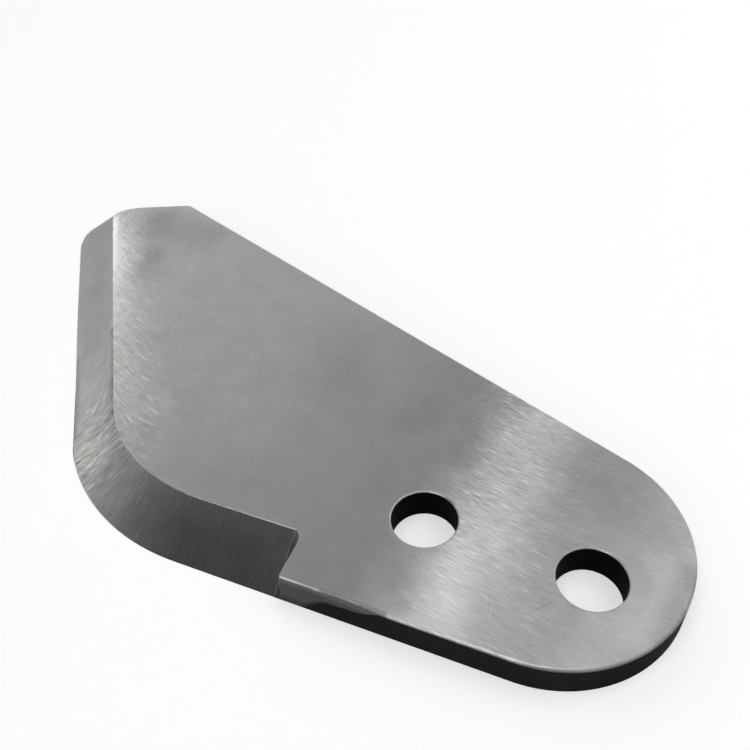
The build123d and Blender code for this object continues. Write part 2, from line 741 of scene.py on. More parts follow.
    def _lay_bevels(self, points: np.ndarray, height: np.ndarray) -> None:
        """Lays the front, belly and lower bevel, each inset from its edge by the height's share.

        The front and lower bevels are straight lines and the belly bevel an arc between them.

        Args:
            points: The contour's points, which it fills.
            height: Rows by columns of heights.
        """
        plan, span = self.plan, self.span
        part = span["front"]
        high = height[:, part]
        last, _ = self._nose(high, np.full(self.front, self.nose_place[-1]))
        inset = self.inset(high, "front")
        start = last - plan.front_out * (inset - high / np.tan(plan.slope))[..., None]
        end = plan.belly_centre + plan.front_out * (plan.belly_radius - inset)[..., None]
        points[:, part] = straight(start, end, self._front_share())

        part = span["belly"]
        radius = plan.belly_radius - self.inset(height[:, part], "belly")
        share = (np.arange(self.belly) + 1) / self.belly
        turn = np.radians(270 - plan.front_fall + (plan.front_fall + plan.lower_rise) * share)
        points[:, part] = plan.belly_centre + radius[..., None] * turned(turn)[None]

        part = span["lower"]
        inset = self.inset(height[:, part], "lower")
        start = plan.lower_run @ (plan.belly_centre - plan.foot)
        end = -plan.step_distance - plan.step_root_radius
        share = (np.arange(self.lower - 1) + 1) / self.lower
        along = start + (end - start) * np.append(share, self.lower_end_share)
        points[:, part] = plan.on_lower(np.broadcast_to(along, inset.shape), inset)


@dataclass
class Wear:
    """Marks of grinding and use, and painted light and shade, each a strength at every
    point of the blade.

    Pairs are the two ends of a soft ramp. Threes, and the rows of falls, are the amount of a
    soft fall and its two ends. A table's rows are a run along the cutting edge from the nose,
    and the strength there.
    """

    plan: BladePlan
    contour: Contour
    # Soft spots of painted light and shade
    spots: tuple[Stroke, ...]
    mark_falls: Rows = (
        (0.0052, 0.001, 0.0085),
        (0.0040, -0.0004, 0.0008),
        (0.0021, 0.0125, 0.0185),
    )
    mark_wave: float = 0.00012
    mark_waves: float = 900.0
    mark_wave_grows: tuple[float, float] = (0.002, 0.006)
    mark_soft: float = 0.0004
    mark_soft_fall: tuple[float, float, float] = (0.0060, 0.0, 0.012)
    mark_skin: float = 0.00003
    mark_end: float = 0.03
    glint_table: Rows = (
        (0.000, 0.0),
        (0.004, 0.25),
        (0.008, 0.46),
        (0.015, 0.72),
        (0.025, 0.86),
        (0.040, 0.60),
        (0.055, 0.44),
        (0.075, 0.40),
        (0.085, 0.20),
        (0.100, 0.0),
    )
    glint_width: float = 0.0055
    glint_narrows: tuple[float, float, float] = (-0.0010, 0.030, 0.045)
    glint_power: float = 1.5
    line_table: Rows = (
        (0.003, 0.0),
        (0.006, 1.0),
        (0.009, 1.0),
        (0.014, 0.75),
        (0.029, 0.6),
        (0.040, 0.0),
    )
    line_width: float = 0.0010
    rim_grows: tuple[float, float] = (0.004, 0.009)
    rim_turn_grows: tuple[float, float] = (3.0, 13.0)
    strip_slant: float = 0.1
    strip_grows: tuple[float, float] = (-0.030, -0.020)
    strip_fades: tuple[float, float, float] = (0.72, -0.012, 0.002)
    strip_low_loss: float = 0.26
    strip_low_grows: tuple[float, float] = (0.0, 0.012)
    end_streaks: float = 0.07
    end_grows: tuple[float, float] = (-0.012, 0.004)
    plain_streaks: float = 0.14
    near_streaks: float = 0.48
    near_falls: Rows = ((0.10, 0.022, 0.036), (-0.12, 0.045, 0.065))
    near_reach: tuple[float, float, float] = (1.0, 0.003, 0.014)
    near_run: tuple[float, float, float] = (1.0, 0.080, 0.110)
    bevel_table: Rows = (
        (0.000, 0.30),
        (0.035, 0.30),
        (0.050, 0.5),
        (0.066, 0.7),
        (0.074, 1.1),
        (0.078, 1.6),
        (0.085, 1.5),
        (0.092, 0.8),
        (0.105, 0.4),
        (0.130, 0.25),
    )

    def ground_mark(self, points: np.ndarray) -> np.ndarray:
        """Share of bright steel on the dark side: a wedge beside the step, thinning away from it.

        The wedge's depth under the face is a sum of soft falls along the side, plus a small
        wave, and its lower limit is soft.

        Args:
            points: Points in the frame.

        Returns:
            1 where the wheel has cleaned the side and 0 where it is dark.
        """
        plan = self.plan
        along, inset = plan.beside_lower(points)
        wave = self.mark_wave * np.sin(along * self.mark_waves)
        depth = falls(along, *self.mark_falls) + wave * smooth(along, *self.mark_wave_grows)
        soft = self.mark_soft + falls(along, self.mark_soft_fall)
        level = plan.thickness - points[:, 2]
        mark = falls((level - depth) / soft, (1.0, -0.5, 0.5))
        back = self.contour.side_back(points[:, 2], along - plan.step_distance)
        return mark * (inset < back + self.mark_skin) * (along < self.mark_end)

    def painted_ridge_glint(self, points: np.ndarray) -> np.ndarray:
        """Painted highlight beside the front ridge: brightness added to the steel's colour.

        It is a table of the run from the nose, times exp(-(distance / width)^1.5). The width
        grows from 4.5 to 5.5 mm.

        Args:
            points: Points in the frame.

        Returns:
            The brightness, from 0 to 1.
        """
        left, run = self.plan.beside_ridge(points)
        wide = self.glint_width + falls(run, self.glint_narrows)
        return looked_up(run, self.glint_table) * np.exp(-(np.abs(left / wide) ** self.glint_power))

    def ridge_line(self, points: np.ndarray) -> np.ndarray:
        """Strength of the bright line along the top of the front ridge, from 0 to 1.

        It is a table of the run from the nose, times exp(-(distance / 1 mm)^2).

        Args:
            points: Points in the frame.

        Returns:
            The strength, from 0 to 1.
        """
        left, run = self.plan.beside_ridge(points)
        return looked_up(run, self.line_table) * np.exp(-((left / self.line_width) ** 2))

    def rim_painted_shade(self, points: np.ndarray) -> np.ndarray:
        """Painted shade on the rounded edge over the dark side, from 0 on the face to 1 at its
        foot.

        It is the square root of the drop below the face over the edge's width. It fades near
        the step, and round the end where the side turns away to the back.

        Args:
            points: Points in the frame.

        Returns:
            The wear, from 0 to 1.
        """
        plan = self.plan
        drop = np.sqrt(np.clip((plan.thickness - points[:, 2]) / plan.end_break, 0.0, 1.0))
        along, inset = plan.beside_lower(points)
        away = points[:, :2] - plan.round_end_centre
        ring = plan.round_end_radius - np.linalg.norm(away, axis=-1)
        turn = np.degrees(np.arctan2(away[:, 1], away[:, 0]))
        round_end = (away @ plan.lower_run > 0) & (turn < 0)
        known = smooth(along, *self.rim_grows)
        known *= np.where(round_end, smooth(-turn, *self.rim_turn_grows), 1.0)
        outside = (away[:, 0] > 0) & (turn >= 0)
        near = np.where(round_end, ring, inset) < 2 * plan.end_break
        return drop * known * near * ~outside

    def face_streaks(self, points: np.ndarray) -> np.ndarray:
        """Strength of the scratches on the top face: strong across the holes and at the ridge.

        It is a soft strip between two lines over the plate, a weaker strip to the round end and
        a soft stretch beside the ridge, over a faint ground level. The strip and the stretch lie
        where the light band and the ridge's glint fall, so there the contrast is partly painted
        sheen.

        Args:
            points: Points in the frame.

        Returns:
            The strength, 1 where the scratches are at their full contrast.
        """
        left, run = self.plan.beside_ridge(points)
        across = points[..., 0] + self.strip_slant * points[..., 1]
        strength, *fade = self.strip_fades
        low = smooth(-points[..., 1], *self.strip_low_grows)
        strip = smooth(across, *self.strip_grows) * falls(across, (1.0, *fade))
        near = falls(left, self.near_reach) * falls(run, self.near_run)
        return (
            self.plain_streaks
            + strip * (strength - self.strip_low_loss * low)
            + self.end_streaks * smooth(across, *self.end_grows)
            + near * (self.near_streaks + falls(run, *self.near_falls))
        )

    def face_painted_spots(self, points: np.ndarray) -> np.ndarray:
        """Painted light and shade that the soft spots add on the top face.

        Each spot adds its strength times one less a soft ramp of the distance from its line.

        Args:
            points: Points in the frame.

        Returns:
            The brightness, which may be below 0.
        """
        total = np.zeros(len(points))
        for spot in self.spots:
            run = np.subtract(spot.end, spot.start)
            away = points[:, :2] - np.array(spot.start)
            share = np.clip(away @ run / (run @ run), 0.0, 1.0)
            gap = np.linalg.norm(away - share[:, None] * run, axis=1)
            total += falls(gap, (spot.strength, 0.0, spot.reach))
        return total

    def bevel_streaks(self, points: np.ndarray) -> np.ndarray:
        """Strength of the scratches on the bevel, from a table of the run from the nose."""
        # The table peaks where the bevel's painted highlight lies, so there the contrast is partly
        # painted sheen
        return looked_up(self.plan.beside_ridge(points)[1], self.bevel_table)

    def marks(self, points: np.ndarray) -> dict[str, np.ndarray]:
        """Every mark by the name of its point attribute.

        Args:
            points: Points in the frame.

        Returns:
            A strength for each point, by name.
        """
        makers = {
            GROUND_MARK: self.ground_mark,
            PAINTED_RIDGE_GLINT: self.painted_ridge_glint,
            RIDGE_LINE: self.ridge_line,
            RIM_PAINTED_SHADE: self.rim_painted_shade,
            FACE_STREAKS: self.face_streaks,
            PAINTED_FACE_SPOTS: self.face_painted_spots,
            BEVEL_STREAKS: self.bevel_streaks,
        }
        return {name: maker(points) for name, maker in makers.items()}


@dataclass
class Blade:
    """The blade's mesh: wall and bevel, broken edges, top face, flat face and two bolt holes.

    The wall's shares are parts of the way from the honed strip to the broken edge. The gaps
    are how far the rows that stand close together lie from a broken edge or a rim.
    """

    plan: BladePlan
    contour: Contour
    wear: Wear
    hone_rows: int = 6
    wall_rows: int = 12
    wall_first: float = 0.02
    wall_even: tuple[float, float] = (0.1, 0.97)
    wall_last: float = 0.993
    break_rows: int = 4
    face_rows: int = 52
    flat_rows: int = 10
    bore_rows: int = 7
    cut_columns: int = 22
    face_gather: float = 1.6
    flat_gather: float = 1.4
    support_gaps: tuple[float, float] = (0.00004, 0.00010)
    rim_gaps: tuple[float, float, float] = (0.0012, 0.0004, 0.00008)
    bore_gap: float = 0.0001
    bore_top: float = 0.0054
    grain_centre: tuple[float, float] = (0.055, 0.270)
    scratch_centre: tuple[float, float] = (0.030, 0.336)
    arc_radius: float = 0.25
    lean_falls: Rows = ((0.95, 0.060, 0.080), (0.15, 0.078, 0.084), (-0.15, 0.088, 0.098))
    nose_side_top: float = 0.0007
    roll_reach: float = 0.012
    roll_depth: float = 0.00016
    roll_most: float = 1.2
    roll_fades: tuple[float, float] = (0.0042, 0.0294)
    sharp_angle: float = 30.0
    weld_steps: float = 1e8

    def heights(self) -> np.ndarray:
        """Heights of the wall's rows for each column.

        The first rows share out the honed strip, closer together at its foot, and the rest the
        way from there to the broken edge, with two rows close together where the wall meets it.

        Returns:
            Rows by columns.
        """
        rise = self.contour.rise
        top = self.plan.thickness - self.contour.breaks * np.sin(self.contour.steep)
        low = np.linspace(0.0, 1.0, self.hone_rows)[:, None] ** 2 * rise
        even = np.linspace(*self.wall_even, self.wall_rows)
        share = np.concatenate([[self.wall_first], even, [self.wall_last, 1.0]])
        return np.concatenate([low, rise + (top - rise) * share[:, None]])

    def outward(self, loop: np.ndarray) -> np.ndarray:
        """Offset of each point of a closed plan loop that moves its edges outwards by one.

        It is the mean of the two edges' normals, made longer by the cosine of half the turn.
        Edges without a length are passed over.

        Args:
            loop: The loop's points in plan.

        Returns:
            One offset for each point.
        """
        run = np.roll(loop, -1, axis=0) - loop
        length = np.linalg.norm(run, axis=1)
        normal = np.stack([run[:, 1], -run[:, 0]], axis=-1) / np.maximum(length, SHORTEST)[:, None]
        known = np.nonzero(length > TOUCHING)[0]
        passed = np.searchsorted(known, np.arange(len(loop)))
        before, after = normal[known[passed - 1]], normal[known[passed % len(known)]]
        mean = before + after
        mean /= np.linalg.norm(mean, axis=1)[:, None]
        return mean / np.sum(mean * after, axis=1)[:, None]

    def rolled(self, points: np.ndarray) -> np.ndarray:
        """Lowers the top face a little towards the ridge of the front and belly bevel.

        The drop is roll_depth times the square of the share of roll_reach that is left to the
        ridge. It fades round the belly and with the height above the flat face.

        Args:
            points: Points in the frame.

        Returns:
            The lowered points.
        """
        plan = self.plan
        left, run = plan.beside_ridge(points)
        depth = falls(run - plan.front_length, (self.roll_depth, *self.roll_fades))
        share = np.clip(1 - left / self.roll_reach, 0.0, self.roll_most)
        rolled = points.copy()
        rolled[..., 2] -= depth * share**2 * points[..., 2] / plan.thickness
        return rolled

    def arcs(self, points: np.ndarray, centre: tuple[float, float]) -> np.ndarray:
        """Map of arcs round a far centre, as a wide wheel leaves them on a flat face.

        Args:
            points: Points in the frame.
            centre: The far centre in plan.

        Returns:
            The distance from the centre, and the arc round it at arc_radius.
        """
        away = points[..., :2] - np.array(centre)
        turn = np.arctan2(away[..., 0], -away[..., 1])
        return np.stack([np.linalg.norm(away, axis=-1), turn * self.arc_radius], axis=-1)

    def face_sheet(self, points: np.ndarray) -> Surface:
        """Makes the surface of a flat face, with both its maps.

        Args:
            points: Rows, columns and coordinates of the points.

        Returns:
            The surface.
        """
        region = np.full(points.shape[1], Region.FACE.value)
        grain, scratch = (self.arcs(points, c) for c in (self.grain_centre, self.scratch_centre))
        return sheet_of(points, grain, scratch, region)

    def wall_regions(self, height: np.ndarray, ground: np.ndarray) -> np.ndarray:
        """Region of each face of the wall.

        The ground columns are bevel, apart from the lowest faces at the nose, and the others are
        side, root or corner.

        Args:
            height: Rows by columns of heights.
            ground: Whether each column is ground.

        Returns:
            Rows of faces by columns.
        """
        span = self.contour.span
        region = np.where(ground, Region.BEVEL.value, Region.SIDE.value)
        region[span["root"]] = Region.ROOT.value
        region[span["corner"]] = Region.CORNER.value
        region = np.broadcast_to(region, (len(height) - 1, len(ground))).copy()
        near = span["nose_near"]
        region[:, near][height[:-1, near] < self.nose_side_top] = Region.SIDE.value
        return region

    def wall(self) -> tuple[Surface, np.ndarray, np.ndarray]:
        """Sides, bevel and step up to the broken edge.

        Each row is the contour at the row's heights. The scratches lean forward down the front
        edge, a little back at the start of the belly and not at all after that.

        Returns:
            The surface, its lowest row and its highest row.
        """
        contour, span = self.contour, self.contour.span
        height = self.heights()
        points = np.concatenate([contour.at(height), height[..., None]], axis=-1)
        foot = points[0, :, :2]
        steps = np.linalg.norm(np.roll(foot, -1, axis=0) - foot, axis=1)
        along = np.concatenate([[0.0], np.cumsum(steps)[:-1]])
        along += self.plan.front_length - along[span["belly"].start - 1]
        lean = falls(along, *self.lean_falls)
        along = np.broadcast_to(along, height.shape)
        ground = np.zeros(contour.columns, bool)
        ground[span["nose_near"].start : span["corner"].start] = True
        ground[span["nose_foot"]] = False
        ground[span["root"]] = False
        slant = height / np.sin(self.plan.slope)
        side = np.stack([height, along], axis=-1)
        grain = np.where(ground[None, :, None], np.stack([along, slant], axis=-1), side)
        leaning = np.stack([along + lean * slant, slant], axis=-1)
        scratch = np.where(ground[None, :, None], leaning, side)
        region = self.wall_regions(height, ground)
        return sheet_of(points, grain, scratch, region), points[0], points[-1]

    def broken_edge(self, top: np.ndarray) -> tuple[Surface, np.ndarray]:
        """Broken edge of the top face: an arc that touches the wall and the face.

        At an angle t from the face the arc stands back from the sharp edge by
        break - r sin t, r(1 - cos t) under the face, where r is break over tan(steepness/2).

        Args:
            top: The wall's highest row.

        Returns:
            The surface and its last row, on the face.
        """
        plan, contour = self.plan, self.contour
        sharp = contour.at(np.full((1, contour.columns), plan.thickness))[0]
        out = self.outward(sharp)
        radius = contour.breaks / np.tan(contour.steep / 2)
        share = np.linspace(1.0, 0.0, self.break_rows + 1)[1:, None]
        angle = share * contour.steep
        back = contour.breaks - radius * np.sin(angle)
        under = radius * (1 - np.cos(angle))
        plane = sharp - out * back[..., None]
        arc = np.concatenate([plane, (plan.thickness - under)[..., None]], axis=-1)
        flat = np.full(contour.columns, plan.thickness)
        support = [
            np.column_stack([sharp - out * (contour.breaks + further)[:, None], flat])
            for further in self.support_gaps
        ]
        points = np.concatenate([top[None], arc, np.stack(support)])
        return self.face_sheet(points), points[-1]

    def loops(self, row: np.ndarray) -> list[np.ndarray]:
        """Splits a closed row into the loop round each hole, at a straight line between them.

        Args:
            row: A closed row of points round the blade.

        Returns:
            The loop round the outer hole and the loop round the inner hole.
        """
        low, high = self.contour.lower_cut, self.contour.upper_cut
        share = np.linspace(0.0, 1.0, self.cut_columns + 2)[1:-1]
        down = straight(row[high], row[low], share)
        outer = np.concatenate([row[low : high + 1], down])
        inner = np.concatenate([row[high:], row[: low + 1], down[::-1]])
        return [outer, inner]

    def fan(self, loop: np.ndarray, rim: np.ndarray, rows: int, power: float) -> np.ndarray:
        """Rows from a closed loop in to a rim, closer together near the loop.

        A row's share of the way in is a power of its place in the count, so the rows gather at
        the loop.

        Args:
            loop: The outer loop's points.
            rim: The rim's points, one for each point of the loop.
            rows: Number of rows, both ends included.
            power: How strongly the rows gather.

        Returns:
            Rows, columns and coordinates.
        """
        share = np.linspace(0.0, 1.0, rows)[:, None] ** power
        return straight(loop[None], rim[None], np.broadcast_to(share, (rows, len(loop))))

    def hole(self, centre: np.ndarray, top: np.ndarray, flat: np.ndarray) -> list[Surface]:
        """Both faces round one bolt hole, its broken rim and its wall.

        Points of the rim lie on rays from the hole's axis to the loop. The rim is a quarter
        round of edge_break, and the wall goes straight down from it.

        Args:
            centre: The hole's axis in plan.
            top: The loop round the hole on the top face.
            flat: The loop round the hole on the flat face.

        Returns:
            Top face, rim, wall and flat face, wound so that they point outwards.
        """
        plan = self.plan
        ray = top[:, :2] - centre
        ray /= np.linalg.norm(ray, axis=1)[:, None]

        def ring(radius: float, height: float) -> np.ndarray:
            """Points of one ring round the hole's axis."""
            return np.column_stack([centre + ray * radius, np.full(len(ray), height)])

        rings = plan.hole_radius + plan.edge_break + np.array(self.rim_gaps)
        turn = np.linspace(0.0, np.pi / 2, self.break_rows + 1)
        radii = plan.hole_radius + plan.edge_break * (1 - np.sin(turn))
        levels = plan.thickness - plan.edge_break * (1 - np.cos(turn))
        far, *close = [ring(radius, plan.thickness) for radius in rings]
        face = self.fan(top, far, self.face_rows, self.face_gather)
        rim = np.stack([face[-1], *close, *map(ring, radii, levels)])
        even = np.linspace(self.bore_top, 0, self.bore_rows)
        depth = np.concatenate([[levels[-1], levels[-1] - self.bore_gap], even])
        bore = np.stack([ring(plan.hole_radius, level) for level in depth])
        under = self.fan(flat, bore[-1], self.flat_rows, self.flat_gather)
        girth = np.cumsum(np.linalg.norm(np.roll(ray, -1, axis=0) - ray, axis=1))
        around = np.broadcast_to(girth * plan.hole_radius, bore.shape[:2])
        girths = np.stack([bore[..., 2], around], axis=-1)
        region = np.full(len(top), Region.BORE.value)
        return [
            self.face_sheet(face),
            self.face_sheet(rim),
            sheet_of(bore, girths, girths, region),
            self.face_sheet(under[::-1]),
        ]

    def surface(self) -> Surface:
        """Puts every part together, one after the other.

        Returns:
            The whole surface, with the points that its parts share still double.
        """
        wall, foot, top = self.wall()
        edge, inner = self.broken_edge(top)
        parts = [wall, edge]
        centres = (np.zeros(2), np.array([-self.plan.hole_spacing, 0.0]))
        for centre, upper, lower in zip(centres, self.loops(inner), self.loops(foot)):
            parts += self.hole(centre, upper, lower)
        offset = np.cumsum([0] + [len(part.points) for part in parts[:-1]])

        def joined(field_name: str) -> np.ndarray:
            """One field of every part, end to end."""
            return np.concatenate([getattr(part, field_name) for part in parts])

        return Surface(
            self.rolled(joined("points")),
            np.concatenate([part.faces + start for part, start in zip(parts, offset)]),
            joined("grain"),
            joined("scratch"),
            joined("regions"),
        )

    def build(self, name: str) -> bpy.types.Object:
        """Makes the blade's mesh object and welds its double points.

        A face whose corners fall together becomes a triangle.

        Args:
            name: The name of the piece.

        Returns:
            The object, with its two maps, its point attributes and its regions as material
            numbers.
        """
        surface = self.surface()
        _, first, index = np.unique(
            np.round(surface.points * self.weld_steps).astype(np.int64),
            axis=0,
            return_index=True,
            return_inverse=True,
        )
        corners = index.reshape(-1)[surface.faces]
        distinct = corners != np.roll(corners, -1, axis=1)
        sides = distinct.sum(axis=1)
        faces, source, regions = [], [], []
        for count in (4, 3):
            chosen = sides == count
            keep = distinct[chosen]
            faces += corners[chosen][keep].reshape(-1, count).tolist()
            source.append(surface.faces[chosen][keep])
            regions.append(surface.regions[chosen])
        mesh = bpy.data.meshes.new(name)
        points = surface.points[first]
        mesh.from_pydata(points.tolist(), [], faces)
        mesh.polygons.foreach_set("material_index", np.concatenate(regions).astype(np.int32))
        order = np.concatenate(source)
        for map_name, values in ((GRAIN_MAP, surface.grain), (SCRATCH_MAP, surface.scratch)):
            layer = mesh.uv_layers.new(name=map_name)
            layer.data.foreach_set("uv", values[order].astype(np.float32).ravel())
        for mark_name, values in self.wear.marks(points).items():
            mark = mesh.attributes.new(mark_name, "FLOAT", "POINT")
            mark.data.foreach_set("value", values.astype(np.float32))
        mesh.polygons.foreach_set("use_smooth", np.ones(len(faces), bool))
        mesh.set_sharp_from_angle(angle=np.radians(self.sharp_angle))
        mesh.update()
        return linked(bpy.data.objects.new(name, mesh))


def new_material(name: str) -> bpy.types.Material:
    """Makes a material with Blender's own first node tree in it."""
    material = bpy.data.materials.new(name)
    material.use_nodes = True
    return material


@dataclass
class NodeTree:
    """Short calls for building a shader's node tree."""

    tree: bpy.types.NodeTree

    def node(self, kind: str, **settings: object) -> bpy.types.Node:
        """Adds a node.

        Args:
            kind: The node's type.
            **settings: Its properties by name, or its inputs by number as s0, s1 and so on.

        Returns:
            The node.
        """
        made = self.tree.nodes.new(kind)
        for key, value in settings.items():
            if key[0] == "s" and key[1:].isdigit():
                made.inputs[int(key[1:])].default_value = value
            else:
                setattr(made, key, value)
        return made

    def put(self, value: Value, target: Socket) -> None:
        """Links a socket to an input, or sets a number or vector there.

        Args:
            value: The socket, number or vector.
            target: The input.
        """
        if isinstance(value, Socket):
            self.tree.links.new(value, target)
        else:
            target.default_value = value

    def fill(self, made: bpy.types.Node, *values: Value, first: int = 0) -> Socket:
        """Feeds values into a node's inputs, one after the other.

        Args:
            made: The node.
            *values: A socket, a number or a vector for each input.
            first: Number of the input that the first value goes into.

        Returns:
            The node's first output.
        """
        for number, value in enumerate(values, first):
            self.put(value, made.inputs[number])
        return made.outputs[0]

    def finish(self, values: dict[str, Value]) -> None:
        """Feeds values into the named inputs of the tree's own surface shader."""
        for name, value in values.items():
            self.put(value, self.tree.nodes["Principled BSDF"].inputs[name])

    def mark(self, name: str) -> Socket:
        """Point attribute of that name."""
        return self.node("ShaderNodeAttribute", attribute_name=name).outputs["Fac"]

    def place(self) -> Socket:
        """Place on the object, in its own coordinates."""
        return self.node("ShaderNodeTexCoord").outputs["Object"]

    def math(self, operation: str, *values: Value) -> Socket:
        """Math node over sockets or numbers."""
        return self.fill(self.node("ShaderNodeMath", operation=operation), *values)

    def vector(self, operation: str, *values: Value) -> Socket:
        """Vector Math node over sockets or vectors."""
        return self.fill(self.node("ShaderNodeVectorMath", operation=operation), *values)

    def dot(self, vector: Socket, other: tuple[float, ...]) -> Socket:
        """Dot product of a vector and three numbers."""
        return self.vector("DOT_PRODUCT", vector, other).node.outputs["Value"]

    def scaled(self, vector: Socket, amount: Value) -> Socket:
        """A vector times a number."""
        return self.fill(self.vector("SCALE", vector).node, amount, first=3)

    def mixed(self, share: Socket, low: Colour, high: Colour) -> Socket:
        """Colour that goes from low to high as the share goes from 0 to 1."""
        made = self.node("ShaderNodeMix", data_type="RGBA", s6=(*low, 1.0), s7=(*high, 1.0))
        self.put(share, made.inputs[0])
        return made.outputs[2]

    def noise(
        self, place: Socket, stretch: tuple[float, ...], detail: float = 2.0, rough: float = 0.5
    ) -> Socket:
        """Noise centred on 0, over a place that is first stretched by three factors.

        Args:
            place: The place.
            stretch: Waves to the metre along each direction.
            detail: How many finer layers the noise has.
            rough: How strong each finer layer is beside the one before.

        Returns:
            The noise, mostly between -0.3 and 0.3.
        """
        made = self.node("ShaderNodeTexNoise", s3=detail, s4=rough, s2=1.0)
        self.fill(made, self.vector("MULTIPLY", place, stretch))
        return self.math("SUBTRACT", made.outputs[0], 0.5)

    def weighted(self, values: list[Socket], weights: tuple[float, ...]) -> Socket:
        """Sum of sockets, each times its own number.

        Args:
            values: The sockets.
            weights: One number for each.

        Returns:
            The sum.
        """
        total = self.math("MULTIPLY", values[0], weights[0])
        for value, weight in zip(values[1:], weights[1:]):
            total = self.math("MULTIPLY_ADD", value, weight, total)
        return total

    def stroke(self, place: Socket, mark: Stroke) -> Socket:
        """Strength of a stroke at a place.

        The place is carried onto the line between the stroke's ends, kept between them, and the
        strength follows a soft ramp of how far the place is from there.

        Args:
            place: The place, on the stroke's own map.
            mark: The stroke.

        Returns:
            Its strength there, 0 beyond its reach.
        """
        run = np.subtract(mark.end, mark.start)
        away = self.vector("SUBTRACT", place, (*mark.start, 0.0))
        share = self.dot(away, (*(run / (run @ run)), 0.0))
        kept = self.fill(self.node("ShaderNodeClamp"), share)
        line = self.node("ShaderNodeCombineXYZ", s0=run[0], s1=run[1]).outputs[0]
        gap = self.vector("DISTANCE", away, self.scaled(line, kept)).node.outputs["Value"]
        return self.ramp(gap, 0.0, mark.reach, mark.strength, 0.0)

    def ramp(self, value: Socket, *ranges: float) -> Socket:
        """Soft map of a value from one range to another, both given as low and high."""
        made = self.node("ShaderNodeMapRange", interpolation_type="SMOOTHSTEP")
        return self.fill(made, value, *ranges)


class StrokeMap(Enum):
    """What the places of a finish's strokes are measured on."""

    PLAN = "the frame's X and Y"
    RUN = "run along the cutting edge, and way up the bevel"


